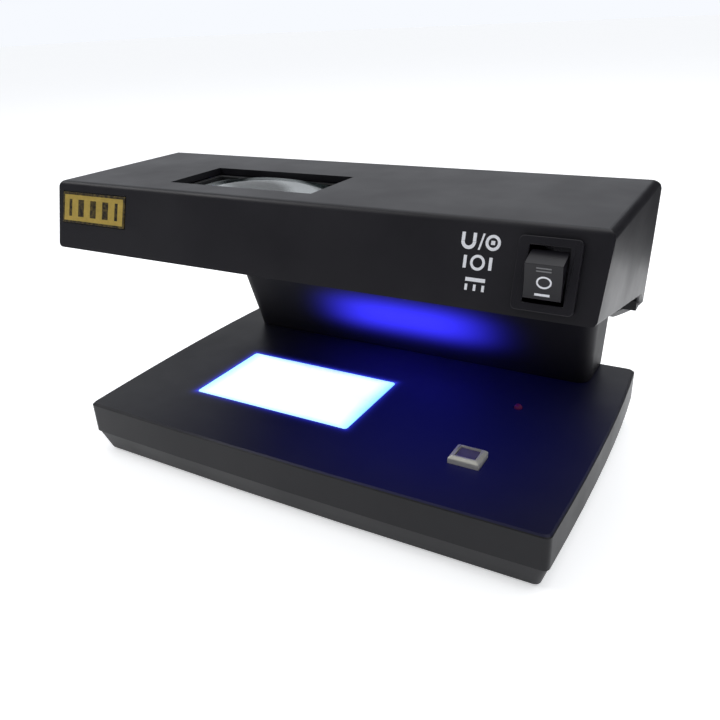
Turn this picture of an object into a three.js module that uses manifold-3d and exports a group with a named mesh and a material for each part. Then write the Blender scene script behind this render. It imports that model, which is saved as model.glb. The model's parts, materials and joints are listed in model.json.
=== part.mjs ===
// Counterfeit bill detector: a flat base, a rear column and an overhanging head.
// Millimetres, +X right, -Y to the user, +Z up. The finished object stands on z = 0, and the origin is
// under the middle of its base.
import * as THREE from "three";
import { mergeVertices } from "three/addons/utils/BufferGeometryUtils.js";
import Module from "manifold-3d";

const wasm = await Module();
wasm.setup();

// ---- Driving dimensions -------------------------------------------------------------------------
const GAP = 0.3; // clearance between neighbouring pieces
const WALL = 2.3; // plastic wall thickness
const FLOOR = -3.2; // the floor's height: the heights below count from a level just inside the base

const base = {
  frontHalf: 93.8, // half width at the front corners
  midHalf: 95.9, // half width where the sides bulge most
  rearHalf: 94.5,
  front: -59.2, // y of the front corners
  bow: 1.0, // how far the front edge bows forward between them
  rear: 60.2,
  corner: 2.5, // plan radius of the corners
  bottom: FLOOR + 1, // underside of the cover, held up by the feet
  seam: 6.2, // height of the parting line
  top: 19.05,
  bevel: 3.0, // how far the lower cover draws in at the bottom
};

const head = {
  half: 99.9, // half width at the top
  draft: 0.05, // how much each side draws in for each millimetre down
  top: 105.1,
  frontTop: -45.7, // y of the front face's top edge
  frontBottom: -52.9,
  lip: 81.9, // z of the front face's bottom edge
  flatEnd: 15.9, // y where the flat top ends
  sideEnd: 22.5, // y where the parallel sides and the gentle underside end
  shoulderHalf: 82.5, // half width at the back of the shoulders
  back: 58.2, // rearmost y
  edge: 1.6, // rounding of the front top edge
  sideEdge: 2.4, // rounding of the side top edges
  lowerEdge: 1.9, // rounding of the side bottom edges
};

const column = {
  half: 80.5, // half width at the foot
  halfTop: 82.2,
  frontFoot: 37.5,
  frontTop: 31.4,
  rearFoot: 60.0,
  rearTop: 56.1,
  neck: 42, // z of the top of the drafted part
  corner: 6,
};

const windowPane = { x: -25.2, y: -12.1, width: 71, depth: 40.2, corner: 1.2 };
const reader = { x: 57.6, y: -31.6, width: 11, depth: 9.4, height: 2.6 };
const signalLed = { x: 61.5, y: 9.3, radius: 1.5 };
const lens = {
  x: -25,
  y: -21.8,
  width: 59,
  depth: 27,
  crown: 1.2, // how far the middle of the lens lies below the head's top
  curvature: 150, // radius of the convex face
  frameTop: 2.5, // how far the frame's rim lies below the head's top
  frameWall: 1.8,
  ledge: 2, // width of the ledge the lens rests on
};
const label = { x: -81.4, up: 14.9, width: 31.6, height: 11, thickness: 0.5 };
const rocker = {
  x: 84.7,
  up: 11.55, // height of the pivot up the front face
  bezelWidth: 16.4,
  bezelHeight: 19.1,
  bezel: 1.2, // how far the bezel stands out
  width: 9.8,
  reach: 7, // from the pivot to the rocker's ends
  pivotDepth: 2.5, // pivot axis behind the front panel's face
  tilt: THREE.MathUtils.degToRad(15), // pressed at its lower end
};
const inlet = { x: 89.6, y: 32.9, width: 5.4, depth: 5, bottom: 56 };
const tube = { y: 5, z: 85.5, radius: 7.9, length: 120, cap: 8, pin: 7 };

// ---- Small tools --------------------------------------------------------------------------------
const X_AXIS = new THREE.Vector3(1, 0, 0);

function solid(geometry) {
  const plain = geometry.clone();
  plain.deleteAttribute("normal");
  plain.deleteAttribute("uv");
  const merged = mergeVertices(plain, 1e-4);
  return new wasm.Manifold(
    new wasm.Mesh({
      numProp: 3,
      vertProperties: new Float32Array(merged.attributes.position.array),
      triVerts: new Uint32Array(merged.index.array),
    }),
  );
}

function toGeometry(body) {
  const mesh = body.getMesh();
  const geometry = new THREE.BufferGeometry();
  geometry.setAttribute("position", new THREE.BufferAttribute(mesh.vertProperties, 3));
  geometry.setIndex(new THREE.BufferAttribute(mesh.triVerts, 1));
  const flat = geometry.toNonIndexed();
  flat.computeVertexNormals();
  return flat;
}

function box(width, depth, height, x, y, z) {
  return solid(new THREE.BoxGeometry(width, depth, height).translate(x, y, z));
}

// A box given by its limits.
function span(x0, x1, y0, y1, z0, z1) {
  return box(x1 - x0, y1 - y0, z1 - z0, (x0 + x1) / 2, (y0 + y1) / 2, (z0 + z1) / 2);
}

// A vertical cylinder from z0 to z1.
function post(radius, x, y, z0, z1, sides = 24, topRadius = radius) {
  const shape = new THREE.CylinderGeometry(topRadius, radius, z1 - z0, sides);
  return solid(shape.rotateX(Math.PI / 2).translate(x, y, (z0 + z1) / 2));
}

// A cylinder along X from x0 to x1.
function rod(radius, x0, x1, y, z, sides = 24) {
  const shape = new THREE.CylinderGeometry(radius, radius, x1 - x0, sides);
  return solid(shape.rotateZ(Math.PI / 2).translate((x0 + x1) / 2, y, z));
}

// A plan outline extruded from z0 to z1.
function prism(shape, z0, z1, curveSegments = 6) {
  const settings = { depth: z1 - z0, bevelEnabled: false, curveSegments };
  return solid(new THREE.ExtrudeGeometry(shape, settings).translate(0, 0, z0));
}

// A side profile, drawn as (y, z), extruded along X from x0 to x1.
function profileBody(shape, x0, x1, curveSegments = 6) {
  const settings = { depth: x1 - x0, bevelEnabled: false, curveSegments };
  const body = new THREE.ExtrudeGeometry(shape, settings);
  const turn = new THREE.Matrix4().makeBasis(
    new THREE.Vector3(0, 1, 0),
    new THREE.Vector3(0, 0, 1),
    X_AXIS,
  );
  return solid(body.applyMatrix4(turn).translate(x0, 0, 0));
}

function polygon(points) {
  return new THREE.Shape(points.map(([a, b]) => new THREE.Vector2(a, b)));
}

// A rectangle with round corners, centred on (x, y).
function roundRect(x, y, width, depth, radius) {
  const shape = new THREE.Shape();
  const right = x + width / 2 - radius;
  const left = x - width / 2 + radius;
  const back = y + depth / 2 - radius;
  const front = y - depth / 2 + radius;
  shape.absarc(right, back, radius, 0, Math.PI / 2);
  shape.absarc(left, back, radius, Math.PI / 2, Math.PI);
  shape.absarc(left, front, radius, Math.PI, 1.5 * Math.PI);
  shape.absarc(right, front, radius, 1.5 * Math.PI, 2 * Math.PI);
  shape.closePath();
  return shape;
}

function roundBox(x, y, width, depth, radius, z0, z1) {
  return prism(roundRect(x, y, width, depth, radius), z0, z1, 4);
}

// An upright box whose top and bottom edges are bevelled.
function bevelledBox(x, y, width, depth, z0, z1, bevel) {
  const shape = polygon([
    [x - width / 2, y - depth / 2],
    [x + width / 2, y - depth / 2],
    [x + width / 2, y + depth / 2],
    [x - width / 2, y + depth / 2],
  ]);
  const settings = {
    depth: z1 - z0 - 2 * bevel,
    bevelThickness: bevel,
    bevelSize: bevel,
    bevelOffset: -bevel,
    bevelSegments: 1,
  };
  return solid(new THREE.ExtrudeGeometry(shape, settings).translate(0, 0, z0 + bevel));
}

// A profile (radius, z) turned about the vertical line through (x, y).
function turned(outline, x, y, sides = 20) {
  const lathe = new THREE.LatheGeometry(outline.getPoints(8), sides);
  return solid(lathe.rotateX(Math.PI / 2).translate(x, y, 0));
}

// A wire or a bent pin: a round section swept along points.
function swept(points, radius, sides = 6, steps = 20) {
  const path = new THREE.CatmullRomCurve3(points.map((p) => new THREE.Vector3(...p)), false, "centripetal");
  const section = new THREE.Shape();
  section.absarc(0, 0, radius, 0, 2 * Math.PI);
  const settings = { steps, extrudePath: path, bevelEnabled: false, curveSegments: sides };
  return solid(new THREE.ExtrudeGeometry(section, settings));
}

const looks = {
  blackPlastic: { color: 0x1b1a1e, roughness: 0.55, metalness: 0 },
  darkPlastic: { color: 0x101012, roughness: 0.6, metalness: 0 },
  switchPlastic: { color: 0x131315, roughness: 0.35, metalness: 0 },
  rubber: { color: 0x161616, roughness: 0.9, metalness: 0 },
  whitePlastic: { color: 0xf4f4f0, roughness: 0.5, metalness: 0 },
  glass: { color: 0xdfe8ee, roughness: 0.05, metalness: 0 },
  lampGlass: { color: 0x3a2f9a, roughness: 0.1, metalness: 0 },
  steel: { color: 0xb9bcc0, roughness: 0.3, metalness: 1 },
  gold: { color: 0xb08d2a, roughness: 0.35, metalness: 1 },
  mirror: { color: 0x10163a, roughness: 0.08, metalness: 0.5 },
  red: { color: 0xb0143c, roughness: 0.25, metalness: 0 },
  board: { color: 0x1d5a34, roughness: 0.5, metalness: 0 },
  copper: { color: 0xa8652e, roughness: 0.4, metalness: 0.8 },
  wire: { color: 0x2a2a2e, roughness: 0.6, metalness: 0 },
};

const root = new THREE.Group();
root.name = "counterfeit_bill_detector";

function add(name, body, look, parent = root) {
  const mesh = new THREE.Mesh(toGeometry(body), new THREE.MeshStandardMaterial(looks[look]));
  mesh.name = name;
  parent.add(mesh);
  return mesh;
}

// ---- Base ---------------------------------------------------------------------------------------
// The base's plan: bowed front, slightly bulged sides, straight rear.
function basePlan(inset, corner = base.corner) {
  const front = base.front + inset;
  const rear = base.rear - inset;
  const bulge = 2 * base.midHalf - (base.frontHalf + base.rearHalf) / 2 - inset;
  const frontHalf = base.frontHalf - inset;
  const rearHalf = base.rearHalf - inset;
  const middle = (front + rear) / 2 + 10;
  const shape = new THREE.Shape();
  shape.moveTo(-frontHalf + corner, front);
  shape.quadraticCurveTo(0, front - 2 * base.bow, frontHalf - corner, front);
  shape.quadraticCurveTo(frontHalf, front, frontHalf, front + corner);
  shape.quadraticCurveTo(bulge, middle, rearHalf, rear - corner);
  shape.quadraticCurveTo(rearHalf, rear, rearHalf - corner, rear);
  shape.lineTo(-rearHalf + corner, rear);
  shape.quadraticCurveTo(-rearHalf, rear, -rearHalf, rear - corner);
  shape.quadraticCurveTo(-bulge, middle, -frontHalf, front + corner);
  shape.quadraticCurveTo(-frontHalf, front, -frontHalf + corner, front);
  return shape;
}

// A solid that changes from one plan outline to another of the same kind.
function loft(lowShape, highShape, z0, z1, divisions = 8) {
  const low = lowShape.getPoints(divisions).slice(0, -1);
  const high = highShape.getPoints(divisions).slice(0, -1);
  const count = low.length;
  const positions = [];
  low.forEach((p) => positions.push(p.x, p.y, z0));
  high.forEach((p) => positions.push(p.x, p.y, z1));
  const faces = [];
  THREE.ShapeUtils.triangulateShape(low, []).forEach(([a, b, c]) => faces.push(a, c, b));
  THREE.ShapeUtils.triangulateShape(high, []).forEach(([a, b, c]) => {
    faces.push(a + count, b + count, c + count);
  });
  for (let i = 0; i < count; i += 1) {
    const next = (i + 1) % count;
    faces.push(i, next, next + count, i, next + count, i + count);
  }
  const geometry = new THREE.BufferGeometry();
  geometry.setAttribute("position", new THREE.Float32BufferAttribute(positions, 3));
  geometry.setIndex(faces);
  return solid(geometry);
}

const screwPosts = [
  [-78, -44],
  [78, -44],
  [-78, 40],
  [78, 40],
];
const footSpots = {
  front_left: [-84, -49],
  front_right: [84, -49],
  rear_left: [-84, 50],
  rear_right: [84, 50],
};

function baseTopShell() {
  const topBevel = 0.8;
  const seam = base.seam + GAP;
  const outer = prism(basePlan(0), seam, base.top - topBevel, 8).add(
    loft(basePlan(0), basePlan(topBevel), base.top - topBevel, base.top),
  );
  const inner = prism(basePlan(WALL), seam - 1, base.top - WALL, 8);
  const pane = windowPane;
  let shell = outer.subtract(inner);
  for (const [x, y] of screwPosts) {
    shell = shell.add(post(3, x, y, base.seam + 2, base.top - WALL + 0.5, 16));
    shell = shell.subtract(post(1.35, x, y, base.seam, base.top - WALL - 1, 12));
  }
  const openings = [
    roundBox(pane.x, pane.y, pane.width + 2 * GAP, pane.depth + 2 * GAP, pane.corner, 15, 20),
    span(
      reader.x - reader.width / 2 - GAP,
      reader.x + reader.width / 2 + GAP,
      reader.y - reader.depth / 2 - GAP,
      reader.y + reader.depth / 2 + GAP,
      15,
      20,
    ),
    post(signalLed.radius + GAP, signalLed.x, signalLed.y, 15, 20, 20),
    span(-30, 30, 43, 53, 15, 20), // cable way into the column
  ];
  return openings.reduce((body, hole) => body.subtract(hole), shell);
}

function baseBottomCover() {
  const shoulder = 0.5; // the cover's rim sits this far inside the upper shell
  const outer = loft(basePlan(base.bevel), basePlan(shoulder), base.bottom, base.seam);
  const skin = 1.8;
  const inner = loft(
    basePlan(base.bevel + skin),
    basePlan(shoulder + skin),
    base.bottom + skin,
    base.seam + skin,
  );
  let cover = outer.subtract(inner);
  for (const [x, y] of screwPosts) {
    cover = cover.add(post(4.4, x, y, base.bottom, base.seam + 1.6, 16));
    cover = cover.subtract(post(1.7, x, y, base.bottom - 1, base.seam + 3, 12));
    cover = cover.subtract(post(3.1, x, y, base.bottom - 1, base.bottom + 2.4, 16));
  }
  for (const [x, y] of Object.values(footSpots)) {
    cover = cover.subtract(post(5.4, x, y, base.bottom - 1, base.bottom + 0.8, 20));
  }
  return cover;
}

function screw(x, y, headBottom, headRadius, shankRadius, length) {
  const head = post(headRadius, x, y, headBottom, headBottom + 1.8, 16);
  const shank = post(shankRadius, x, y, headBottom + 1.7, headBottom + length, 12);
  const slot = box(0.7, 2.6, 0.9, x, y, headBottom).add(box(2.6, 0.7, 0.9, x, y, headBottom));
  return head.add(shank).subtract(slot);
}

function buildBase() {
  add("base_top_shell", baseTopShell(), "blackPlastic");
  add("base_bottom_cover", baseBottomCover(), "blackPlastic");
  for (const [name, [x, y]] of Object.entries(footSpots)) {
    const pad = post(4.6, x, y, FLOOR, FLOOR + 0.4, 20, 5);
    const disc = post(5, x, y, FLOOR + 0.4, base.bottom + 0.5, 20);
    add("foot_" + name, pad.add(disc), "rubber");
  }
  screwPosts.forEach(([x, y], i) => {
    add("base_screw_" + (i + 1), screw(x, y, base.bottom + 0.3, 2.8, 1.1, 14), "steel");
  });
}

// ---- Lit window, magnetic reader and signal light ------------------------------------------------
function buildWindow() {
  const { x, y, width, depth, corner } = windowPane;
  const ledgeTop = base.top - WALL - GAP;
  const pane = roundBox(x, y, width, depth, corner, ledgeTop - 1, base.top - 0.1);
  const ledge = roundBox(x, y, width + 3, depth + 3, corner, ledgeTop - 1.3, ledgeTop);
  add("window_diffuser", pane.add(ledge), "whitePlastic");
  const floor = 2.6;
  const lightBox = span(x - 36, x + 36, y - 21, y + 21, floor, 14.8).subtract(
    span(x - 34.8, x + 34.8, y - 19.8, y + 19.8, floor + 1.2, 16),
  );
  add("light_box", lightBox, "whitePlastic");
  let board = span(x - 33, x + 33, y - 18, y + 18, floor + 1.5, floor + 3.1);
  for (const dx of [-24, -8, 8, 24]) {
    for (const dy of [-9, 9]) {
      board = board.add(box(3.5, 2.8, 1.4, x + dx, y + dy, floor + 3.7));
    }
  }
  add("backlight_board", board, "board");
}

function buildReader() {
  const { x, y, width, depth, height } = reader;
  const top = base.top + height;
  const bottom = 9.2;
  const rim = 1;
  const shell = bevelledBox(x, y, width, depth, bottom, top, rim);
  const pocket = box(7.4, 6.2, 8, x, y, top);
  add("magnetic_head_case", shell.subtract(pocket), "steel");
  add("magnetic_head_core", box(6.8, 5.6, 3.4, x, y, top - 2.1), "mirror");
  const strap = polygon([
    [y - 12, 14.6],
    [y - 12, 15.6],
    [y - 6, 15.6],
    [y - 6, 8.9],
    [y + 6, 8.9],
    [y + 6, 15.6],
    [y + 12, 15.6],
    [y + 12, 14.6],
    [y + 7, 14.6],
    [y + 7, 7.9],
    [y - 7, 7.9],
    [y - 7, 14.6],
  ]);
  add("magnetic_head_bracket", profileBody(strap, x - 3.5, x + 3.5), "steel");
}

function buildSignals() {
  const { x, y, radius } = signalLed;
  const outline = new THREE.Path();
  outline.moveTo(0, 12);
  outline.lineTo(radius + 0.6, 12);
  outline.lineTo(radius + 0.6, 13);
  outline.lineTo(radius, 13);
  outline.lineTo(radius, base.top - 0.1);
  outline.absarc(0, base.top - 0.1, radius, 0, Math.PI / 2);
  add("signal_led", turned(outline, x, y), "red");
  const board = span(22, 86, -14, 20, 8.4, 10).add(span(30, 42, -8, 2, 9.9, 12.4));
  add("signal_board", board.add(span(48, 58, 12, 16, 9.9, 11.6)), "board");
  add("buzzer", post(6, 76, 4, 10.4, 16.2, 28).subtract(post(1, 76, 4, 12, 17, 12)), "darkPlastic");
}

// ---- Column -------------------------------------------------------------------------------------
// Height of the head's underside edge: a gentle slope, then a steeper one down the shoulders.
const lowerSlope = 0.2238;
const shoulderEdge = head.lip - (head.sideEnd - head.frontBottom) * lowerSlope;
const shoulderSlope = (shoulderEdge - column.neck) / (column.rearTop - head.sideEnd);

function lowerEdge(y) {
  if (y < head.sideEnd) return head.lip - (y - head.frontBottom) * lowerSlope;
  return shoulderEdge - (y - head.sideEnd) * shoulderSlope;
}

// The column's plan at height z: round front corners, drafted on every side.
function columnPlan(z, inset) {
  const rise = (z - base.top) / (column.neck - base.top);
  const half = column.half + (column.halfTop - column.half) * rise - inset;
  const front = column.frontFoot + (column.frontTop - column.frontFoot) * rise + inset;
  const rear = column.rearFoot + (column.rearTop - column.rearFoot) * rise - inset;
  const corner = column.corner - inset;
  const shape = new THREE.Shape();
  shape.moveTo(half, rear);
  shape.lineTo(-half, rear);
  shape.lineTo(-half, front + corner);
  shape.quadraticCurveTo(-half, front, -half + corner, front);
  shape.lineTo(half - corner, front);
  shape.quadraticCurveTo(half, front, half, front + corner);
  shape.lineTo(half, rear);
  return shape;
}

function columnTube(inset, z0, z1) {
  return loft(columnPlan(z0, inset), columnPlan(z1, inset), z0, z1);
}

// Everything under the head's lower edge, less a clearance.
function underHead(clearance) {
  const below = polygon([
    [-10, 0],
    [70, 0],
    [70, lowerEdge(70) - clearance],
    [head.sideEnd, shoulderEdge - clearance],
    [-10, lowerEdge(-10) - clearance],
  ]);
  return profileBody(below, -110, 110);
}

function buildColumn() {
  const foot = base.top + GAP;
  const tall = 64;
  const shell = columnTube(0, foot, tall).subtract(columnTube(WALL, foot - 1, tall + 1));
  add("column_body", shell.intersect(underHead(GAP)), "blackPlastic");

  let board = span(-60, 40, 48.5, 50.1, 22, 45);
  for (const x of [-52, -44, -36, 26, 34]) board = board.add(span(x - 1, x + 1, 46.5, 48.6, 40, 42));
  add("ballast_board", board, "board");
  const winding = span(-24, -8, 40.4, 48.2, 25, 41);
  const core = span(-27, -5, 41.6, 47, 28, 38);
  add("ballast_transformer", winding.add(core), "copper");
  const capacitor = rod(3.9, 4, 20, 44, 31, 20).add(rod(3.4, 19.9, 20.6, 44, 31, 20));
  add("ballast_capacitor", capacitor, "darkPlastic");
}

// ---- Head ---------------------------------------------------------------------------------------
const lean = new THREE.Vector2(head.frontTop - head.frontBottom, head.top - head.lip);
const faceHeight = lean.length();
lean.normalize();

// Takes a point at (x, up, out) on the leaning front face to its place in the room.
function onFrontFace(x, up, out = 0) {
  return new THREE.Vector3(
    x,
    head.frontBottom + up * lean.x - out * lean.y,
    head.lip + up * lean.y + out * lean.x,
  );
}

const faceTilt = Math.atan2(lean.y, lean.x);

// A group whose X runs along the front face, Y up it and Z out of it.
function faceGroup(name, x, up) {
  const group = new THREE.Group();
  group.name = name;
  group.position.copy(onFrontFace(x, up));
  group.rotation.x = faceTilt;
  group.updateMatrix();
  root.add(group);
  return group;
}

// The head's plan: parallel sides, then shoulders that draw in to the back.
function headPlan(inset) {
  const half = head.half - inset;
  const narrow = head.shoulderHalf - inset;
  const back = head.back - inset;
  const shape = new THREE.Shape();
  shape.moveTo(-half, -70);
  shape.lineTo(half, -70);
  shape.lineTo(half, head.sideEnd);
  shape.quadraticCurveTo(half - 3, head.sideEnd + 16, narrow, back);
  shape.lineTo(-narrow, back);
  shape.quadraticCurveTo(-half + 3, head.sideEnd + 16, -half, head.sideEnd);
  shape.closePath();
  return shape;
}

// The head's side profile as (y, z). It runs on below the underside, which is cut off afterwards.
function headProfile(inset) {
  const top = head.top - inset;
  const edge = head.edge;
  const front = (z) => head.frontBottom + ((z - head.lip) * lean.x + inset) / lean.y;
  const back = head.back - inset;
  const shape = new THREE.Shape();
  shape.moveTo(front(30), 30);
  shape.lineTo(column.rearTop - inset, 30);
  shape.lineTo(column.rearTop - inset, column.neck);
  shape.quadraticCurveTo(back, 56, back - 0.5, 66);
  shape.quadraticCurveTo(44 - inset, 90 - inset, head.flatEnd, top);
  shape.lineTo(front(top) + edge, top);
  shape.quadraticCurveTo(front(top), top, front(top - edge), top - edge);
  shape.closePath();
  return shape;
}

// The room above the head's underside, raised by a clearance or a thickness.
function aboveUnderside(raise) {
  const above = polygon([
    [-80, lowerEdge(-80) + raise],
    [head.sideEnd, shoulderEdge + raise],
    [80, lowerEdge(80) + raise],
    [80, 130],
    [-80, 130],
  ]);
  return profileBody(above, -112, 112);
}

// The head seen from the front: a slab with drafted sides and round top corners.
function headWidth(inset) {
  const half = head.half - inset;
  const top = head.top - inset;
  const round = head.sideEdge;
  const low = 20;
  const lowHalf = half - head.draft * (top - round - low);
  const shape = new THREE.Shape();
  shape.moveTo(-lowHalf, low);
  shape.lineTo(lowHalf, low);
  shape.lineTo(half, top - round);
  shape.absarc(half - round, top - round, round, 0, Math.PI / 2);
  shape.lineTo(-half + round, top);
  shape.absarc(-half + round, top - round, round, Math.PI / 2, Math.PI);
  shape.closePath();
  const slab = new THREE.ExtrudeGeometry(shape, { depth: 140, bevelEnabled: false, curveSegments: 4 });
  return solid(slab.rotateX(Math.PI / 2).translate(0, 70, 0));
}

function headBlock(inset) {
  const side = profileBody(headProfile(inset), -110, 110, 8);
  return side.intersect(prism(headPlan(inset), 0, 130, 8)).intersect(headWidth(inset));
}

// The room above one sloping plane through (y, z), with the head's two bottom edges rounded.
function roundedAbove(y, z, slope) {
  const round = head.lowerEdge;
  const tall = 150;
  const half = head.half - head.draft * (head.top - head.sideEdge - head.lip);
  const highHalf = half + head.draft * tall;
  const shape = new THREE.Shape();
  shape.moveTo(-half + round, 0);
  shape.lineTo(half - round, 0);
  shape.absarc(half - round, round, round, -Math.PI / 2, 0);
  shape.lineTo(highHalf, tall);
  shape.lineTo(-highHalf, tall);
  shape.lineTo(-half, round);
  shape.absarc(-half + round, round, round, Math.PI, 1.5 * Math.PI);
  shape.closePath();
  const slab = new THREE.ExtrudeGeometry(shape, { depth: 160, bevelEnabled: false, curveSegments: 5 });
  slab.rotateX(Math.PI / 2).translate(0, 80, 0);
  const shear = new THREE.Matrix4().set(1, 0, 0, 0, 0, 1, 0, 0, 0, -slope, 1, z + slope * y, 0, 0, 0, 1);
  return solid(slab.applyMatrix4(shear));
}

function roundedUnderside() {
  return roundedAbove(head.frontBottom, head.lip, lowerSlope).add(
    roundedAbove(head.sideEnd, shoulderEdge, shoulderSlope),
  );
}

const headScrews = [
  [-66, -36],
  [66, -36],
  [-88, 22],
  [88, 22],
];

function headBody() {
  let shell = headBlock(0).intersect(roundedUnderside()).subtract(headBlock(WALL));
  for (const [x, y] of headScrews) {
    const foot = lowerEdge(y) + 5.4;
    shell = shell.add(post(3, x, y, foot, head.top, 16).intersect(headBlock(1)));
    shell = shell.subtract(post(1.35, x, y, foot - 1, foot + 9, 12));
  }
  shell = shell.subtract(span(
    lens.x - lens.width / 2,
    lens.x + lens.width / 2,
    lens.y - lens.depth / 2,
    lens.y + lens.depth / 2,
    head.top - 6,
    head.top + 1,
  ));
  const switchHole = box(13.6, 16.8, 12, 0, 0, -3).transform(faceMatrix(rocker.x, rocker.up));
  const labelPocket = box(label.width + 0.6, label.height + 0.6, 1.2, 0, 0, 0).transform(
    faceMatrix(label.x, label.up),
  );
  return shell.subtract(switchHole).subtract(labelPocket);
}

function headBottomCover() {
  const thickness = 2.2;
  const inset = WALL + GAP;
  const slab = headBlock(inset).intersect(aboveUnderside(0)).subtract(aboveUnderside(thickness));
  const sight = span(lens.x - 26, lens.x + 26, lens.y - 12, lens.y + 11, 40, 100);
  const lamp = span(-61, 61, tube.y - 9, tube.y + 9, 40, 100);
  const cableWay = span(-70, 70, 34, 49, 30, 90);
  let cover = slab.subtract(sight).subtract(lamp).subtract(cableWay);
  for (const [x, y] of headScrews) {
    const boss = post(4.2, x, y, lowerEdge(y) - 4, lowerEdge(y) + 5, 16).intersect(aboveUnderside(0));
    cover = cover.add(boss).subtract(post(1.6, x, y, 30, 100, 12));
    cover = cover.subtract(post(3, x, y, 30, lowerEdge(y) + 2.6, 16));
  }
  const { x, y, width, depth } = inlet;
  return cover.subtract(box(width + 2 * GAP, depth + 2 * GAP, 30, x, y, 60));
}

function buildLens() {
  const bottom = 92;
  const top = head.top - lens.frameTop;
  const width = lens.width - 2 * GAP;
  const depth = lens.depth - 2 * GAP;
  const innerWidth = width - 2 * lens.frameWall;
  const innerDepth = depth - 2 * lens.frameWall;
  const seat = bottom + 1.2;
  const frame = box(width, depth, top - bottom, lens.x, lens.y, (top + bottom) / 2)
    .subtract(box(innerWidth, innerDepth, 20, lens.x, lens.y, seat + 10))
    .subtract(box(innerWidth - 2 * lens.ledge, innerDepth - 2 * lens.ledge, 20, lens.x, lens.y, bottom));
  add("lens_frame", frame, "darkPlastic");

  const low = seat + GAP;
  const reach = 33;
  const outline = [new THREE.Vector2(0, low), new THREE.Vector2(reach, low)];
  const rings = 8;
  for (let i = rings; i >= 0; i -= 1) {
    const r = (reach * i) / rings;
    const sag = lens.curvature - Math.sqrt(lens.curvature ** 2 - r * r);
    outline.push(new THREE.Vector2(r, head.top - lens.crown - sag));
  }
  const blank = solid(
    new THREE.LatheGeometry(outline, 48).rotateX(Math.PI / 2).translate(lens.x, lens.y, 0),
  );
  const cut = box(innerWidth - 2 * GAP, innerDepth - 2 * GAP, 30, lens.x, lens.y, 95);
  add("magnifier_lens", blank.intersect(cut), "glass");
}

function faceMatrix(x, up) {
  return new THREE.Matrix4()
    .makeRotationX(faceTilt)
    .setPosition(onFrontFace(x, up)).elements;
}

function buildLabel() {
  const group = faceGroup("label_place", label.x, label.up);
  add("label_plate", box(label.width, label.height, label.thickness, 0, 0, -0.05), "gold", group);
}

// ---- Rocker switch, in the front face's own frame -------------------------------------------------
function buildSwitch() {
  const group = faceGroup("switch_place", rocker.x, rocker.up);
  const bezelBack = 0.3;
  const front = bezelBack + rocker.bezel;
  const flange = roundBox(0, 0, rocker.bezelWidth, rocker.bezelHeight, 1.5, bezelBack, front);
  const body = box(13, 16.2, 13.4, 0, 0, bezelBack - 6.6);
  const opening = box(rocker.width + 0.8, 2 * rocker.reach + 0.7, 14, 0, 0, bezelBack - 3);
  add("switch_housing", flange.add(body).subtract(opening), "switchPlastic", group);

  // Side view about the pivot, as (up, out): sloping end faces over arcs that clear the bezel.
  const r = rocker.reach;
  const outline = new THREE.Shape();
  outline.moveTo(4.53, 6.66);
  outline.lineTo(0, 6.2);
  outline.lineTo(-4.53, 6.66);
  outline.absarc(0, 0, r, Math.PI - 0.1, Math.PI + 0.4);
  outline.lineTo(0, -4);
  outline.absarc(0, 0, r, -0.4, 0.1);
  outline.closePath();
  const half = rocker.width / 2;
  const pin = rod(1, -half - 0.2, half + 0.2, 0, 0, 12);
  const lever = profileBody(outline, -half, half, 4).add(pin);
  const mesh = add("switch_rocker", lever, "switchPlastic", group);
  mesh.position.z = -rocker.pivotDepth;
  mesh.rotation.x = rocker.tilt;

  [-5, 0, 5].forEach((up, i) => {
    const blade = box(4.6, 0.8, 6.4, 0, up, bezelBack - 13.3 - GAP - 3.2);
    add("switch_terminal_" + (i + 1), blade, "copper", group);
  });
}

// ---- UV lamp --------------------------------------------------------------------------------------
function buildLamp() {
  const { y, z, radius, length, cap, pin } = tube;
  const half = length / 2;
  add("uv_tube", rod(radius, -half, half, y, z, 28), "lampGlass");
  for (const [side, word] of [
    [-1, "left"],
    [1, "right"],
  ]) {
    const along = (a, b) => (side > 0 ? [a, b] : [-b, -a]);
    const [c0, c1] = along(half + GAP, half + cap);
    const [p0, p1] = along(half + cap - 0.1, half + cap + pin);
    const ferrule = rod(radius + 0.1, c0, c1, y, z, 28);
    const pins = rod(1.1, p0, p1, y - 2.6, z, 10).add(rod(1.1, p0, p1, y + 2.6, z, 10));
    add("tube_cap_" + word, ferrule.add(pins), "steel");
    const [h0, h1] = along(half + cap + GAP, half + cap + 9);
    const [s0, s1] = along(half + cap, half + cap + pin + 0.6);
    const holder = span(h0, h1, y - 8, y + 8, z - 9, z + 11).subtract(
      span(s0, s1, y - 4.2, y + 4.2, z - 12, z + 1.6),
    );
    add("lampholder_" + word, holder, "whitePlastic");
  }
  const sheet = 0.7;
  const bend = (grow) => [
    [y - 10 - grow, z - 6],
    [y - 8 - grow, z + 10 + grow],
    [y + 8 + grow, z + 10 + grow],
    [y + 10 + grow, z - 6],
  ];
  const outer = polygon(bend(sheet));
  const inner = polygon(bend(0).map(([a, b]) => [a, b < z ? b - 1 : b]));
  const hood = profileBody(outer, -58, 58).subtract(profileBody(inner, -59, 59));
  add("reflector", hood, "steel");
}

function buildInlet() {
  const { x, y, width, depth, bottom } = inlet;
  const collar = span(86.8, 95.8, 30, 40, bottom, 70).intersect(underHead(GAP));
  const stem = span(x - width / 2, x + width / 2, y - depth / 2, y + depth / 2, bottom + 1, 66);
  const socket = post(1.9, x, y - 0.3, bottom - 1, 64, 16);
  add("power_inlet", collar.add(stem).subtract(socket), "darkPlastic");
}

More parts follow.
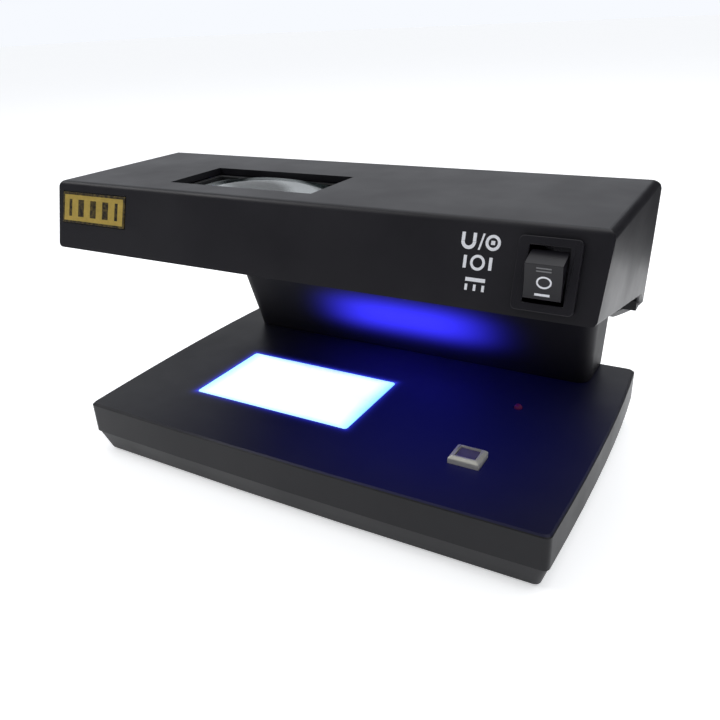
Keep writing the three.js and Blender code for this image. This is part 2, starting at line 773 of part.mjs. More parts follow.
function buildWires() {
  const wires = {
    wire_switch: [
      [84.6, -26, 87],
      [83, -14, 84],
      [80, 8, 78],
      [76, 30, 68],
      [62, 41.5, 56],
      [50, 46, 47],
    ],
    wire_lamp_left: [
      [-72, 14, 84],
      [-72, 24, 74],
      [-60, 41, 58],
      [-48, 46, 47],
    ],
    wire_lamp_right: [
      [72, 14, 84],
      [70, 24, 74],
      [44, 41, 58],
      [30, 46, 47],
    ],
  };
  for (const [name, points] of Object.entries(wires)) add(name, swept(points, 0.9), "wire");
}

function buildHead() {
  add("head_body", headBody(), "blackPlastic");
  add("head_bottom_cover", headBottomCover(), "blackPlastic");
  headScrews.forEach(([x, y], i) => {
    add("head_screw_" + (i + 1), screw(x, y, lowerEdge(y) + 0.5, 2.6, 1.1, 11), "steel");
  });
}

buildBase();
buildWindow();
buildReader();
buildSignals();
buildColumn();
buildHead();
buildLens();
buildLabel();
buildSwitch();
buildLamp();
buildInlet();
buildWires();

root.position.z = -FLOOR;
export default root;
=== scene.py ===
# Counterfeit bill detector: looks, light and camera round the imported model.
# Metres, in the same frame as the CAD: +X right, -Y to the user, +Z up.
import json
import math
import bmesh
import bpy
from mathutils import Matrix, Vector


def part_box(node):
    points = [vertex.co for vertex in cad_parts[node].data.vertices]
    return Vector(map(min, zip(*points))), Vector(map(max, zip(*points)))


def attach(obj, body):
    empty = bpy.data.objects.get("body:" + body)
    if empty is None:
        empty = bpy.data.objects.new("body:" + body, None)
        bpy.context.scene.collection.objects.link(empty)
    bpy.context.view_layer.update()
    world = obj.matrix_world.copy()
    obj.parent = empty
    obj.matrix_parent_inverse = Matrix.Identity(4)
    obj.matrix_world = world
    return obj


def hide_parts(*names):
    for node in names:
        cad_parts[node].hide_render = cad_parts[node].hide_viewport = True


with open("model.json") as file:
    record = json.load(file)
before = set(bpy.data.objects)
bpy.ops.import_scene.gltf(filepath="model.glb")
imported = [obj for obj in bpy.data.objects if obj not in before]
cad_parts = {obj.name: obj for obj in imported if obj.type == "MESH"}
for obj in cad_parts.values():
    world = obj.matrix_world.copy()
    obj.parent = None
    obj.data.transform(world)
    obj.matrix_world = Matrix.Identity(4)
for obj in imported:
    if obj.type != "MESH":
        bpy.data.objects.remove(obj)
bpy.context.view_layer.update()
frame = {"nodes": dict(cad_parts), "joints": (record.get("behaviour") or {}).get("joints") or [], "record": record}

scene = bpy.context.scene
MM = 0.001

# ---- Camera and light settings --------------------------------------------------------------------
CAMERA_AT = (0.13115, -0.22300, 0.15694)
CAMERA_TURN = 30.725  # degrees about the vertical
CAMERA_TILT = 64.603  # degrees up from looking straight down
CAMERA_ROLL = -2.771  # degrees about the line of sight
LENS_MM = 35.77

SKY_LEVEL = 1.0  # brightness of the surroundings at eye level behind the object
SKY_BACK = 0.52  # a little above eye level
SKY_HIGH = 0.90  # higher up behind it
SKY_FRONT = 0.12  # and on the user's side
KEY_POWER = 6.5
RIM_POWER = 3.2
FLOOR_GLOW = 0.5  # how much the floor shines by itself, like a lit shooting table
UV_POWER = 0.03
# Strength of the blue glow painted on the column's front.
PAINTED_COLUMN_GLOW = 1.25
WINDOW_GLOW = 1.0
TUBE_GLOW = 2.0

UV_BLUE = (0.035, 0.03, 1.0, 1.0)

# ---- Where things are, from the CAD, and where the painted light lies -----------------------------
WINDOW_LOW, WINDOW_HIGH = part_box("window_diffuser")
HEAD_LOW, HEAD_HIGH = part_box("head_body")
TUBE_LOW, TUBE_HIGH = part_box("uv_tube")
LABEL_LOW, LABEL_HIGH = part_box("label_plate")
COLUMN_LOW, COLUMN_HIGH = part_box("column_body")
# The blue glow painted on the column: its middle and size.
PAINTED_GLOW_AT = (0.003, 0.0400)  # x and z of the brightest place on the column
PAINTED_GLOW_SIZE = (0.034, 0.0075)
# The blue lamp light painted on the base: its middle and size.
PAINTED_SPILL_AT = (0.040, -0.025)  # x and y of the middle of the blue light spilt on the base
PAINTED_SPILL_SIZE = (0.065, 0.050)
ROCKER_PIVOT = Vector(frame["joints"][0]["pos_m"])


def add_camera():
    data = bpy.data.cameras.new("camera")
    data.lens = LENS_MM
    data.sensor_width = 36.0
    data.clip_start = 0.01
    camera = bpy.data.objects.new("camera", data)
    turn = Matrix.Rotation(math.radians(CAMERA_TURN), 4, "Z")
    tilt = Matrix.Rotation(math.radians(CAMERA_TILT), 4, "X")
    roll = Matrix.Rotation(math.radians(CAMERA_ROLL), 4, "Z")
    camera.matrix_world = Matrix.Translation(CAMERA_AT) @ turn @ tilt @ roll
    scene.collection.objects.link(camera)
    scene.camera = camera


add_camera()


# ---- Material tools -------------------------------------------------------------------------------
class Shader:
    """A new material's node tree, with short ways to add nodes and join them."""

    def __init__(self, name):
        self.material = bpy.data.materials.new(name)
        self.material.use_nodes = True
        self.tree = self.material.node_tree
        self.surface = self.tree.nodes["Principled BSDF"]
        self.place = self.add("ShaderNodeTexCoord").outputs["Object"]

    def add(self, kind, **settings):
        node = self.tree.nodes.new(kind)
        for key, value in settings.items():
            setattr(node, key, value)
        return node

    def join(self, source, target):
        self.tree.links.new(source, target)

    def set(self, **values):
        """Sets the surface's own sockets: spaces in their names are written as underscores."""
        for key, value in values.items():
            self.surface.inputs[key.replace("_", " ")].default_value = value
        return self

    def math(self, operation, a, b=0.0, c=0.0, clamp=False):
        node = self.add("ShaderNodeMath", operation=operation, use_clamp=clamp)
        for socket, value in zip(node.inputs, (a, b, c)):
            if isinstance(value, (int, float)):
                socket.default_value = value
            else:
                self.join(value, socket)
        return node.outputs[0]

    def noise(self, scale, detail=2.0, roughness=0.5):
        node = self.add("ShaderNodeTexNoise")
        node.inputs["Scale"].default_value = scale
        node.inputs["Detail"].default_value = detail
        node.inputs["Roughness"].default_value = roughness
        self.join(self.place, node.inputs["Vector"])
        return node.outputs["Fac"]

    def ramp(self, factor, low, high, from_low=0.0, from_high=1.0):
        """Maps a number onto another range."""
        node = self.add("ShaderNodeMapRange")
        limits = {"From Min": from_low, "From Max": from_high, "To Min": low, "To Max": high}
        for key, value in limits.items():
            node.inputs[key].default_value = value
        self.join(factor, node.inputs["Value"])
        return node.outputs["Result"]

    def mix(self, factor, first, second):
        """A colour between two colours."""
        node = self.add("ShaderNodeMix", data_type="RGBA")
        self.join(factor, node.inputs["Factor"])
        for socket, value in ((node.inputs["A"], first), (node.inputs["B"], second)):
            if isinstance(value, tuple):
                socket.default_value = value
            else:
                self.join(value, socket)
        return node.outputs["Result"]

    def bump(self, height, strength, distance):
        node = self.add("ShaderNodeBump")
        node.inputs["Strength"].default_value = strength
        node.inputs["Distance"].default_value = distance
        self.join(height, node.inputs["Height"])
        self.join(node.outputs["Normal"], self.surface.inputs["Normal"])

    def axes(self):
        split = self.add("ShaderNodeSeparateXYZ")
        self.join(self.place, split.inputs["Vector"])
        return split.outputs


def moulded_plastic(name, colour, roughness, grain=0.05, level=0.3):
    """Injection-moulded plastic with a fine spark-eroded grain and faint smears in its gloss."""
    shader = Shader(name)
    lighter = tuple(min(1.0, c * 1.5 + 0.002) for c in colour[:3]) + (1.0,)
    shader.join(shader.mix(shader.noise(60, 4), colour, lighter), shader.surface.inputs["Base Color"])
    smears = shader.noise(28, 3, 0.6)
    shader.join(
        shader.ramp(smears, roughness - 0.06, roughness + 0.06, 0.3, 0.7),
        shader.surface.inputs["Roughness"],
    )
    shader.set(Specular_IOR_Level=level)
    shader.bump(shader.noise(1800, 3, 0.6), grain, 0.0002)
    return shader


def border_distance(shader, low, high):
    """How far a point lies outside a rectangle in plan, in metres."""
    x, y = shader.axes()[0:2]
    middle = (low + high) / 2
    half = (high - low) / 2
    gaps = []
    for axis, value in enumerate((x, y)):
        off = shader.math("ABSOLUTE", shader.math("SUBTRACT", value, middle[axis]))
        gaps.append(shader.math("MAXIMUM", shader.math("SUBTRACT", off, half[axis]), 0.0))
    squares = [shader.math("MULTIPLY", gap, gap) for gap in gaps]
    return shader.math("SQRT", shader.math("ADD", *squares))


def base_plastic_with_painted_glow():
    """The base's black plastic, with a painted blue glow round the window's edge and a painted patch of blue lamp
    light on its top.
    """
    shader = moulded_plastic("base_plastic_with_painted_glow", (0.006, 0.006, 0.008, 1.0), 0.42, level=0.24)
    # Painted glow: blue emission close round the window's edge, fading within about a millimetre.
    rim = Vector((1.5, 1.5, 0)) * MM
    away = border_distance(shader, WINDOW_LOW + rim, WINDOW_HIGH - rim)
    painted_halo = shader.math("EXPONENT", shader.math("MULTIPLY", away, -1100.0))
    shader.surface.inputs["Emission Color"].default_value = (0.04, 0.05, 1.0, 1.0)
    # Painted light: a soft blue patch of emission on the top, where the lamp's light falls on the base.
    x, y, z = shader.axes()[0:3]
    across = shader.math("DIVIDE", shader.math("SUBTRACT", x, PAINTED_SPILL_AT[0]), PAINTED_SPILL_SIZE[0])
    back = shader.math("DIVIDE", shader.math("SUBTRACT", y, PAINTED_SPILL_AT[1]), PAINTED_SPILL_SIZE[1])
    across = shader.math("ABSOLUTE", across)
    back = shader.math("ABSOLUTE", back)
    squares = shader.math("ADD", shader.math("POWER", across, 2.0), shader.math("POWER", back, 2.0))
    painted_spill = shader.math("EXPONENT", shader.math("MULTIPLY", squares, -1.0))
    level = shader.math("GREATER_THAN", z, WINDOW_HIGH.z - 0.4 * MM)
    painted_spill = shader.math("MULTIPLY", shader.math("MULTIPLY", painted_spill, level), 0.045)
    glow = shader.math("ADD", shader.math("MULTIPLY", painted_halo, 0.8), painted_spill)
    shader.join(glow, shader.surface.inputs["Emission Strength"])
    return shader.material


def column_plastic_with_painted_glow():
    """The column's black plastic, with a painted blue glow on its front where the lamp shines full on it."""
    shader = moulded_plastic("column_plastic_with_painted_glow", (0.008, 0.0075, 0.0105, 1.0), 0.55, level=0.2)
    x, y, z = shader.axes()[0:3]
    # Painted light: a soft blue patch of emission on the column's front, where the lamp shines on it.
    across = shader.math("DIVIDE", shader.math("SUBTRACT", x, PAINTED_GLOW_AT[0]), PAINTED_GLOW_SIZE[0])
    up = shader.math("DIVIDE", shader.math("SUBTRACT", z, PAINTED_GLOW_AT[1]), PAINTED_GLOW_SIZE[1])
    across = shader.math("ABSOLUTE", across)
    up = shader.math("ABSOLUTE", up)
    fade = shader.math("ADD", shader.math("POWER", across, 3.5), shader.math("POWER", up, 2.5))
    patch = shader.math("EXPONENT", shader.math("MULTIPLY", fade, -1.0))
    front = shader.math("LESS_THAN", y, (COLUMN_LOW.y + COLUMN_HIGH.y) / 2)
    shader.surface.inputs["Emission Color"].default_value = UV_BLUE
    strength = shader.math("MULTIPLY", shader.math("MULTIPLY", patch, front), PAINTED_COLUMN_GLOW)
    shader.join(strength, shader.surface.inputs["Emission Strength"])
    return shader.material


def window_light():
    """Opal acrylic lit from below: white in the middle, bluer and dimmer at its edges."""
    shader = Shader("window_light")
    x, y = shader.axes()[0:2]
    middle = (WINDOW_LOW + WINDOW_HIGH) / 2
    half = (WINDOW_HIGH - WINDOW_LOW) / 2
    parts = []
    for axis, value in enumerate((x, y)):
        off = shader.math("SUBTRACT", value, middle[axis])
        parts.append(shader.math("DIVIDE", shader.math("ABSOLUTE", off), half[axis]))
    out = shader.math("MAXIMUM", *parts)
    edge = shader.ramp(out, 0.0, 1.0, 0.78, 0.95)
    rim = shader.ramp(out, 0.0, 1.0, 0.965, 0.995)
    body = shader.mix(edge, (1.0, 1.0, 1.0, 1.0), (0.30, 0.85, 0.95, 1.0))
    colour = shader.mix(rim, body, (0.08, 0.14, 0.95, 1.0))
    shader.join(colour, shader.surface.inputs["Emission Color"])
    patches = shader.ramp(shader.noise(45, 3), 0.88, 1.1, 0.3, 0.7)
    shader.join(
        shader.math("MULTIPLY", patches, WINDOW_GLOW),
        shader.surface.inputs["Emission Strength"],
    )
    shader.set(Base_Color=(0.85, 0.88, 0.92, 1.0), Roughness=0.35)
    return shader.material


def brushed_metal(name, colour, roughness):
    shader = Shader(name)
    stretch = shader.add("ShaderNodeMapping")
    stretch.inputs["Scale"].default_value = (1.0, 25.0, 25.0)
    shader.join(shader.place, stretch.inputs["Vector"])
    lines = shader.add("ShaderNodeTexNoise")
    lines.inputs["Scale"].default_value = 120
    lines.inputs["Detail"].default_value = 4
    shader.join(stretch.outputs["Vector"], lines.inputs["Vector"])
    shader.join(
        shader.ramp(lines.outputs["Fac"], roughness - 0.08, roughness + 0.1, 0.3, 0.7),
        shader.surface.inputs["Roughness"],
    )
    darker = tuple(c * 0.8 for c in colour[:3]) + (1.0,)
    shader.join(shader.mix(lines.outputs["Fac"], colour, darker), shader.surface.inputs["Base Color"])
    shader.set(Metallic=1.0)
    shader.bump(lines.outputs["Fac"], 0.05, 0.0001)
    return shader


def gold_foil():
    """The front label: mottled gold foil with upright bars inside a printed border."""
    shader = brushed_metal("gold_foil", (0.62, 0.45, 0.10, 1.0), 0.38)
    shader.set(Metallic=0.65)
    x, y, z = shader.axes()[0:3]
    middle = (LABEL_LOW + LABEL_HIGH) / 2
    half = (LABEL_HIGH - LABEL_LOW) / 2
    across = shader.math("SUBTRACT", x, middle.x)
    up = shader.math("SUBTRACT", z, middle.z)
    side = shader.math("GREATER_THAN", shader.math("ABSOLUTE", across), half.x - 0.9 * MM)
    ends = shader.math("GREATER_THAN", shader.math("ABSOLUTE", up), half.z - 0.9 * MM)
    border = shader.math("MAXIMUM", side, ends)
    wave = shader.math("MULTIPLY", across, 2 * math.pi / (6.2 * MM))
    stripe = shader.math("GREATER_THAN", shader.math("COSINE", wave), 0.05)
    inside_x = shader.math("LESS_THAN", shader.math("ABSOLUTE", across), half.x - 3.4 * MM)
    inside_z = shader.math("LESS_THAN", shader.math("ABSOLUTE", up), half.z - 2.4 * MM)
    bars = shader.math("MULTIPLY", shader.math("MULTIPLY", stripe, inside_x), inside_z)
    ink = shader.math("MAXIMUM", border, bars)
    foil = shader.mix(shader.noise(420, 4, 0.7), (0.78, 0.56, 0.13, 1.0), (0.42, 0.30, 0.07, 1.0))
    worn = shader.math("MULTIPLY", ink, shader.ramp(shader.noise(700, 3), 0.75, 1.0, 0.3, 0.6))
    colour = shader.mix(worn, foil, (0.03, 0.025, 0.02, 1.0))
    shader.join(colour, shader.surface.inputs["Base Color"])
    return shader.material


def lens_glass():
    """A moulded lens: mostly clear, with pale wavy streaks of painted reflection in its colour, where it lets less
    light through.
    """
    shader = Shader("lens_glass")
    bands = shader.add("ShaderNodeTexWave", wave_type="BANDS", bands_direction="DIAGONAL")
    bands.inputs["Scale"].default_value = 22
    bands.inputs["Distortion"].default_value = 5.5
    bands.inputs["Detail"].default_value = 2.0
    bands.inputs["Detail Scale"].default_value = 1.2
    shader.join(shader.place, bands.inputs["Vector"])
    # Painted reflection: pale streaks in the lens's colour, standing in for the surroundings reflected in it.
    painted_streak = shader.ramp(bands.outputs["Fac"], 0.0, 1.0, 0.25, 0.9)
    shader.join(
        shader.mix(painted_streak, (0.05, 0.07, 0.07, 1.0), (0.42, 0.45, 0.46, 1.0)),
        shader.surface.inputs["Base Color"],
    )
    shader.join(
        shader.ramp(painted_streak, 0.85, 0.35),
        shader.surface.inputs["Transmission Weight"],
    )
    shader.set(Roughness=0.06, IOR=1.52)
    shader.bump(shader.noise(38, 2, 0.4), 0.25, 0.0012)
    return shader.material


def glowing(name, base, colour, strength, roughness=0.2):
    """A lit lamp or light: slightly uneven along its length."""
    shader = Shader(name)
    shader.set(Base_Color=base, Roughness=roughness, Emission_Color=colour)
    shader.join(
        shader.ramp(shader.noise(120, 2), strength * 0.85, strength * 1.1, 0.3, 0.7),
        shader.surface.inputs["Emission Strength"],
    )
    return shader.material


def mirror_coating():
    """The reader's polished face: mottled dark blue and violet."""
    shader = Shader("mirror_coating")
    shader.join(
        shader.mix(shader.noise(260, 2), (0.22, 0.19, 0.42, 1.0), (0.50, 0.44, 0.72, 1.0)),
        shader.surface.inputs["Base Color"],
    )
    shader.set(Metallic=0.6, Roughness=0.2)
    return shader.material


def circuit_board():
    """Green solder mask with paler copper tracks under it."""
    shader = Shader("circuit_board")
    cells = shader.add("ShaderNodeTexBrick")
    cells.inputs["Scale"].default_value = 90
    cells.inputs["Mortar Size"].default_value = 0.03
    cells.inputs["Color1"].default_value = (0.015, 0.12, 0.045, 1.0)
    cells.inputs["Color2"].default_value = (0.02, 0.15, 0.06, 1.0)
    cells.inputs["Mortar"].default_value = (0.08, 0.32, 0.12, 1.0)
    shader.join(shader.place, cells.inputs["Vector"])
    shader.join(cells.outputs["Color"], shader.surface.inputs["Base Color"])
    shader.set(Roughness=0.35)
    shader.bump(cells.outputs["Fac"], 0.2, 0.0001)
    return shader.material


def printed_ink(name, light):
    """Pad print, a little patchy."""
    shader = Shader(name)
    full = (light, light * 1.01, light * 1.05, 1.0)
    worn = (light * 0.78, light * 0.79, light * 0.85, 1.0)
    shader.join(shader.mix(shader.noise(1500, 3), full, worn), shader.surface.inputs["Base Color"])
    shader.set(Roughness=0.5)
    return shader.material


looks = {
    "body": moulded_plastic("body_plastic", (0.0065, 0.006, 0.0085, 1.0), 0.40).material,
    "base": base_plastic_with_painted_glow(),
    "column": column_plastic_with_painted_glow(),
    "dark": moulded_plastic("dark_plastic", (0.006, 0.006, 0.007, 1.0), 0.5).material,
    "switch": moulded_plastic("switch_plastic", (0.008, 0.0075, 0.010, 1.0), 0.32, 0.02).material,
    "rubber": moulded_plastic("foot_rubber", (0.02, 0.02, 0.02, 1.0), 0.85, 0.2).material,
    "white": moulded_plastic("white_plastic", (0.75, 0.75, 0.72, 1.0), 0.5, 0.02).material,
    "window": window_light(),
    "glass": lens_glass(),
    "tube": glowing("lamp_glass", (0.05, 0.03, 0.3, 1.0), UV_BLUE, TUBE_GLOW),
    "led": glowing("red_led", (0.16, 0.01, 0.08, 1.0), (1.0, 0.05, 0.4, 1.0), 0.02, 0.35),
    "steel": brushed_metal("plated_steel", (0.62, 0.61, 0.56, 1.0), 0.32).material,
    "case": brushed_metal("nickel_case", (0.92, 0.90, 0.80, 1.0), 0.4).set(Metallic=0.3).material,
    "mirror": mirror_coating(),
    "foil": gold_foil(),
    "board": circuit_board(),
    "copper": brushed_metal("copper", (0.55, 0.27, 0.12, 1.0), 0.4).material,
    "wire": moulded_plastic("wire_sleeve", (0.02, 0.02, 0.024, 1.0), 0.5, 0.02).material,
    "ink": printed_ink("printed_ink", 0.80),
    # The same print made much darker: painted shade on the rocker's raised end.
    "ink_in_painted_shade": printed_ink("painted_shade_ink", 0.16),
}


def dress(node, look):
    """Gives a carried-over CAD node its material."""
    mesh = frame["nodes"][node].data
    mesh.materials.clear()
    mesh.materials.append(looks[look])


def body_of(node):
    for body, members in frame["record"]["behaviour"]["bodies"].items():
        if node in members:
            return body


# ---- Pieces that replace CAD nodes ------------------------------------------------------------------
def piece(name, mesh, look, body):
    mesh.materials.clear()
    mesh.materials.append(looks[look])
    made = bpy.data.objects.new(name, mesh)
    scene.collection.objects.link(made)
    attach(made, body)
    return made


def softened(node, look, width, segments=2, angle=26.0):
    """A copy of a CAD node with its sharp edges rounded to a real moulding's radius, in millimetres."""
    bm = bmesh.new()
    bm.from_mesh(frame["nodes"][node].data)
    bmesh.ops.remove_doubles(bm, verts=bm.verts, dist=2e-6)
    bmesh.ops.dissolve_limit(bm, angle_limit=math.radians(0.6), verts=bm.verts, edges=bm.edges)
    for face in bm.faces:
        face.smooth = True
    mesh = bpy.data.meshes.new(node + "_detail")
    bm.to_mesh(mesh)
    bm.free()
    made = piece(node + "_detail", mesh, look, body_of(node))
    bevel = made.modifiers.new("edges", "BEVEL")
    bevel.width = width * MM
    bevel.segments = segments
    bevel.limit_method = "ANGLE"
    bevel.angle_limit = math.radians(angle)
    bevel.miter_outer = "MITER_ARC"
    even = made.modifiers.new("flat faces", "WEIGHTED_NORMAL")
    even.keep_sharp = True
    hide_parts(node)
    return made


def dress_all():
    softened("head_body", "body", 0.9, 3)
    softened("base_top_shell", "base", 0.7, 3)
    softened("base_bottom_cover", "base", 0.6)
    softened("column_body", "column", 0.5)
    softened("head_bottom_cover", "body", 0.3)
    softened("switch_housing", "switch", 0.45, 3)
    softened("switch_rocker", "switch", 0.4, 3)
    softened("lens_frame", "dark", 0.3)
    softened("power_inlet", "dark", 0.35)
    softened("magnetic_head_case", "case", 0.25, 3)
    softened("magnetic_head_core", "mirror", 0.2)
    softened("window_diffuser", "window", 0.2)
    softened("label_plate", "foil", 0.1)
    softened("magnifier_lens", "glass", 0.25)
    softened("light_box", "white", 0.3)
    softened("ballast_transformer", "copper", 0.5)
    for side in ("left", "right"):
        softened("lampholder_" + side, "white", 0.5)
        softened("tube_cap_" + side, "steel", 0.3)
    plain = {
        "rubber": ["foot_" + spot for spot in ("front_left", "front_right", "rear_left", "rear_right")],
        "steel": [kind + "_screw_%d" % i for kind in ("base", "head") for i in (1, 2, 3, 4)],
        "board": ["backlight_board", "signal_board", "ballast_board"],
        "dark": ["buzzer", "ballast_capacitor"],
        "copper": ["switch_terminal_%d" % i for i in (1, 2, 3)],
        "wire": ["wire_switch", "wire_lamp_left", "wire_lamp_right"],
        "tube": ["uv_tube"],
        "led": ["signal_led"],
    }
    plain["steel"] += ["reflector", "magnetic_head_bracket"]
    for look, nodes in plain.items():
        for node in nodes:
            dress(node, look)


dress_all()


# ---- Printed marks --------------------------------------------------------------------------------
FACE_BOTTOM = Vector((0, -52.9, 85.1)) * MM  # the front face's bottom edge
FACE_TOP = Vector((0, -45.7, 108.3)) * MM
FACE_UP = (FACE_TOP - FACE_BOTTOM).normalized()
FACE_OUT = Vector((1, 0, 0)).cross(FACE_UP)


def face_matrix():
    """X along the front face, Y up it and Z out of it, from its bottom edge at x = 0."""
    turn = Matrix((Vector((1, 0, 0)), FACE_UP, FACE_OUT)).transposed()
    return Matrix.Translation(FACE_BOTTOM) @ turn.to_4x4()


def flat_mark(bm, outline, height=0.03):
    """A thin printed shape, given by its outline in millimetres."""
    low = [bm.verts.new((x * MM, y * MM, 0)) for x, y in outline]
    face = bm.faces.new(low)
    grown = bmesh.ops.extrude_face_region(bm, geom=[face])
    top = [v for v in grown["geom"] if isinstance(v, bmesh.types.BMVert)]
    bmesh.ops.translate(bm, verts=top, vec=(0, 0, height * MM))


def bar(bm, x, y, width, height, slant=0.0):
    """A bar centred on (x, y), leaning to the right by slant."""
    left = x - width / 2
    right = x + width / 2
    low = y - height / 2
    high = y + height / 2
    low_end = [(left - slant, low), (right - slant, low)]
    high_end = [(right + slant, high), (left + slant, high)]
    flat_mark(bm, low_end + high_end)


def ring(bm, x, y, radius_x, radius_y, stroke, start=0.0, turn=2 * math.pi):
    """A round line, or part of one, made of short bars that share their ends."""
    steps = 28
    points = []
    for i in range(steps + 1):
        a = start + turn * i / steps
        points.append((math.cos(a), math.sin(a)))
    for (c0, s0), (c1, s1) in zip(points, points[1:]):
        inner_x = radius_x - stroke
        inner_y = radius_y - stroke
        inner = [(x + inner_x * c, y + inner_y * s) for c, s in ((c0, s0), (c1, s1))]
        outer = [(x + radius_x * c, y + radius_y * s) for c, s in ((c1, s1), (c0, s0))]
        flat_mark(bm, inner + outer)


def magnet_mark(bm):
    """A horseshoe magnet, a stroke and a watermark drop: the reader and watermark position."""
    ring(bm, 62.5, 18.0, 2.1, 2.1, 0.95, math.pi, math.pi)
    bar(bm, 60.9, 19.2, 0.95, 2.3)
    bar(bm, 64.1, 19.2, 0.95, 2.3)
    bar(bm, 66.1, 18.2, 0.55, 4.4, 0.55)
    ring(bm, 69.3, 18.2, 2.1, 2.1, 0.8)
    bar(bm, 69.3, 18.2, 1.1, 1.1)


def off_mark(bm):
    """A ring between two short strokes: the off position."""
    ring(bm, 65.7, 12.6, 2.1, 2.1, 0.75)
    bar(bm, 62.1, 12.6, 0.9, 3.4)
    bar(bm, 69.3, 12.6, 0.9, 3.4)


def lamp_mark(bm):
    """A lamp tube with rays: the ultraviolet position."""
    bar(bm, 65.7, 8.0, 5.6, 1.0)
    for x in (63.3, 65.7, 68.1):
        bar(bm, x, 5.9, 0.75, 1.7)


def printed(name, draw, place, body, look="ink", lift=None):
    bm = bmesh.new()
    draw(bm)
    if lift:
        for vert in bm.verts:
            vert.co.z += lift(vert.co.y)
    bmesh.ops.recalc_face_normals(bm, faces=bm.faces)
    mesh = bpy.data.meshes.new(name)
    bm.to_mesh(mesh)
    bm.free()
    mesh.transform(place)
    return piece(name, mesh, look, body)


def rocker_marks(bm):
    """One line and a circle, from the rocker's pressed end up."""
    bar(bm, 0.1, -3.4, 3.9, 0.6)
    ring(bm, 0.3, -0.2, 2.0, 1.6, 0.45)


def rocker_far_marks(bm):
    """Two lines at the raised end."""
    bar(bm, 0.1, 2.7, 3.9, 0.35)
    bar(bm, 0.1, 3.5, 3.9, 0.35)


def rocker_surface(y):
    """How far the rocker's dished front lies out from its pivot, in metres."""
    return 6.22 * MM + abs(y) * 0.46 / 4.53


def rocker_face():
    """The rocker's front at rest: pressed at its lower end, so its upper end stands out."""
    lean = Matrix.Rotation(math.radians(15), 4, "X")
    frame_turn = face_matrix().to_3x3().to_4x4()
    return Matrix.Translation(ROCKER_PIVOT) @ frame_turn @ lean


ON_FACE = face_matrix() @ Matrix.Translation((0, 0, 0.01 * MM))
printed("mark_magnet", magnet_mark, ON_FACE, "detector")
printed("mark_off", off_mark, ON_FACE, "detector")
printed("mark_lamp", lamp_mark, ON_FACE, "detector")
printed("mark_rocker", rocker_marks, rocker_face(), "rocker", "ink", rocker_surface)
# The two lines at the raised end are printed darker as painted shade, for the shade that falls there.
printed("mark_rocker_far", rocker_far_marks, rocker_face(), "rocker", "ink_in_painted_shade", rocker_surface)


# ---- Floor and light --------------------------------------------------------------------------------
def add_floor():
    """A pale floor that runs on to the horizon."""
    bm = bmesh.new()
    bmesh.ops.create_grid(bm, x_segments=1, y_segments=1, size=12.0)
    mesh = bpy.data.meshes.new("floor")
    bm.to_mesh(mesh)
    bm.free()
    shader = Shader("floor")
    shader.set(Roughness=0.9, Specular_IOR_Level=0.1, Emission_Strength=FLOOR_GLOW)
    shader.set(Emission_Color=(0.98, 0.99, 1.0, 1.0))
    paper = shader.mix(shader.noise(3, 2), (0.90, 0.90, 0.90, 1.0), (0.93, 0.93, 0.93, 1.0))
    shader.join(paper, shader.surface.inputs["Base Color"])
    mesh.materials.append(shader.material)
    floor = bpy.data.objects.new("floor", mesh)
    scene.collection.objects.link(floor)


def add_flag():
    """A black card beyond the right-hand end, which only the glossy sides see."""
    bm = bmesh.new()
    corners = ((0.10, 0.20, 0.02), (0.75, 0.20, 0.02), (0.75, 0.20, 0.45), (0.10, 0.20, 0.45))
    bm.faces.new([bm.verts.new(corner) for corner in corners])
    mesh = bpy.data.meshes.new("flag")
    bm.to_mesh(mesh)
    bm.free()
    shader = Shader("flag")
    shader.join(
        shader.mix(shader.noise(9), (0.03, 0.03, 0.03, 1.0), (0.045, 0.045, 0.045, 1.0)),
        shader.surface.inputs["Base Color"],
    )
    shader.set(Roughness=0.95)
    mesh.materials.append(shader.material)
    flag = bpy.data.objects.new("flag", mesh)
    flag.visible_camera = False
    flag.visible_diffuse = False
    flag.visible_shadow = False
    scene.collection.objects.link(flag)


def area_light(name, at, towards, width, height, power, colour=(1.0, 1.0, 1.0)):
    data = bpy.data.lights.new(name, "AREA")
    data.shape = "RECTANGLE"
    data.size = width
    data.size_y = height
    data.energy = power
    data.color = colour
    light = bpy.data.objects.new(name, data)
    aim = Vector(towards) - Vector(at)
    light.matrix_world = Matrix.Translation(at) @ aim.to_track_quat("-Z", "Y").to_matrix().to_4x4()
    scene.collection.objects.link(light)
    return light


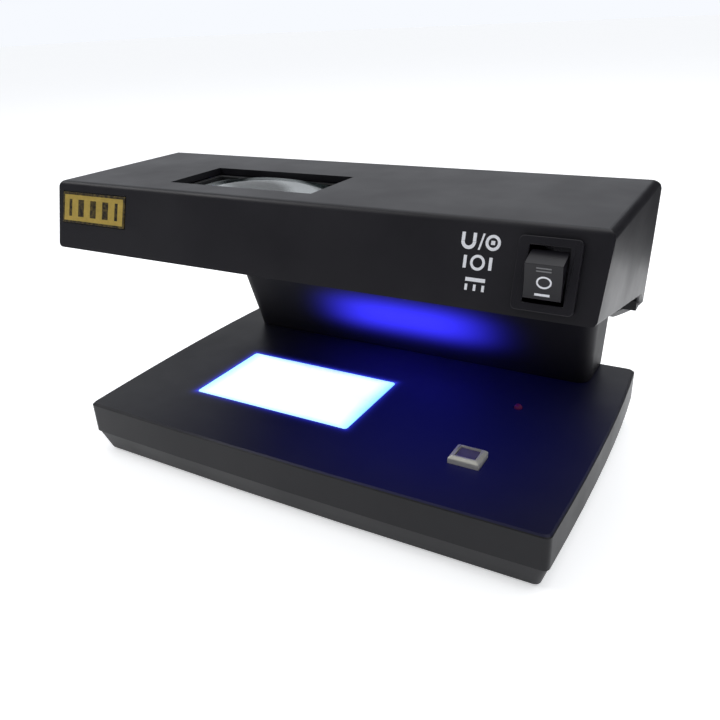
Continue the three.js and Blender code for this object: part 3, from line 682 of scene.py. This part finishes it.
def add_lights():
    area_light("key", (0.2, 0.1, 1.1), (0, 0, 0), 1.2, 1.2, KEY_POWER)
    area_light("rim", (-0.72, -0.42, 0.85), (0, 0, 0.06), 0.5, 0.5, RIM_POWER)
    middle = (TUBE_LOW + TUBE_HIGH) / 2
    start = Vector((middle.x, middle.y, TUBE_LOW.z - 1.5 * MM))
    # The lamp aims at the middle of the glow painted on the column.
    end = Vector((PAINTED_GLOW_AT[0], COLUMN_LOW.y, PAINTED_GLOW_AT[1]))
    lamp = area_light("uv", start, end, 0.070, 0.010, UV_POWER, UV_BLUE[:3])
    lamp.data.spread = math.radians(70)


def graded(tree, value, low, high, start, end):
    """A smooth step of a number between two directions."""
    grade = tree.nodes.new("ShaderNodeMapRange")
    grade.interpolation_type = "SMOOTHSTEP"
    for socket, amount in (("From Min", start), ("From Max", end), ("To Min", low), ("To Max", high)):
        grade.inputs[socket].default_value = amount
    tree.links.new(value, grade.inputs["Value"])
    return grade.outputs["Result"]


def add_world():
    """Soft surroundings: brightest at eye level, and behind the object rather than in front."""
    world = bpy.data.worlds.new("world")
    world.use_nodes = True
    tree = world.node_tree
    direction = tree.nodes.new("ShaderNodeTexCoord")
    split = tree.nodes.new("ShaderNodeSeparateXYZ")
    tree.links.new(direction.outputs["Generated"], split.inputs["Vector"])
    depth = graded(tree, split.outputs["Y"], SKY_FRONT, SKY_BACK, -0.5, 0.6)
    level = graded(tree, split.outputs["Z"], SKY_LEVEL / SKY_BACK, 1.0, 0.03, 0.12)
    high = graded(tree, split.outputs["Z"], 1.0, SKY_HIGH / SKY_BACK, 0.22, 0.5)
    strength = depth
    for factor in (level, high):
        product = tree.nodes.new("ShaderNodeMath")
        product.operation = "MULTIPLY"
        tree.links.new(strength, product.inputs[0])
        tree.links.new(factor, product.inputs[1])
        strength = product.outputs[0]
    tree.links.new(strength, tree.nodes["Background"].inputs["Strength"])
    tree.nodes["Background"].inputs["Color"].default_value = (0.93, 0.955, 1.0, 1.0)
    scene.world = world


add_floor()
add_flag()
add_lights()
add_world()
scene.view_settings.view_transform = "Standard"
